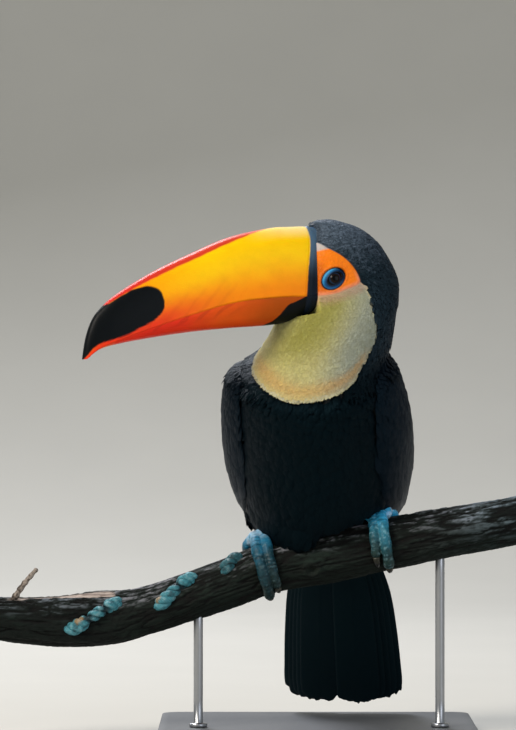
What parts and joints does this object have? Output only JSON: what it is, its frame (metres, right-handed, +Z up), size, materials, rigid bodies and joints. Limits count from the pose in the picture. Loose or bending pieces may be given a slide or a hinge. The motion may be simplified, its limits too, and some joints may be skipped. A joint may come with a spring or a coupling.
{
  "type": "toucan",
  "caption": "Life-size toco toucan with its head turned to its right, gripping a cut length of branch that slim rods hold over a flat base.",
  "frame": {"origin": "point on the underside of the base below the perch's middle, 42 mm in front of the base's centre", "axes": "+Z up, -Y the way the bird faces (its breast is turned 9 degrees from it towards -X), +X the bird's left, so that the bill points to -X"},
  "size_m": [0.4363, 0.2378, 0.3913],
  "materials": {
    "plumage": "black feathers with a blue sheen",
    "bib": "soft cream-white feathers",
    "bill_horn": "satin orange horn with a black tip",
    "eye": "wet and dark in a blue ring",
    "foot_skin": "scaly blue-grey skin",
    "claw_horn": "dark grey horn",
    "bark": "rough ridged bark",
    "rope": "worn twisted teal rope",
    "rod_steel": "brushed",
    "base_paint": "satin grey paint"
  },
  "bodies": {
    "root": {"head": "plumage", "neck": "bib", "trunk": "plumage", "wing_left": "plumage", "wing_right": "plumage", "tail": "plumage", "thigh_left": "plumage", "thigh_right": "plumage", "bill_upper": "bill_horn", "bill_lower": "bill_horn", "eye_left": "eye", "eye_right": "eye", "foot_left": "foot_skin", "foot_right": "foot_skin", "claw_left_1": "claw_horn", "claw_left_2": "claw_horn", "claw_left_3": "claw_horn", "claw_left_4": "claw_horn", "claw_right_1": "claw_horn", "claw_right_2": "claw_horn", "claw_right_3": "claw_horn", "claw_right_4": "claw_horn", "perch": "bark", "perch_twig": "bark", "rope_lower": "rope", "rope_middle": "rope", "rope_upper": "rope", "stand_base": "base_paint", "stand_rod_left": "rod_steel", "stand_rod_right": "rod_steel"}
  },
  "joints": []
}
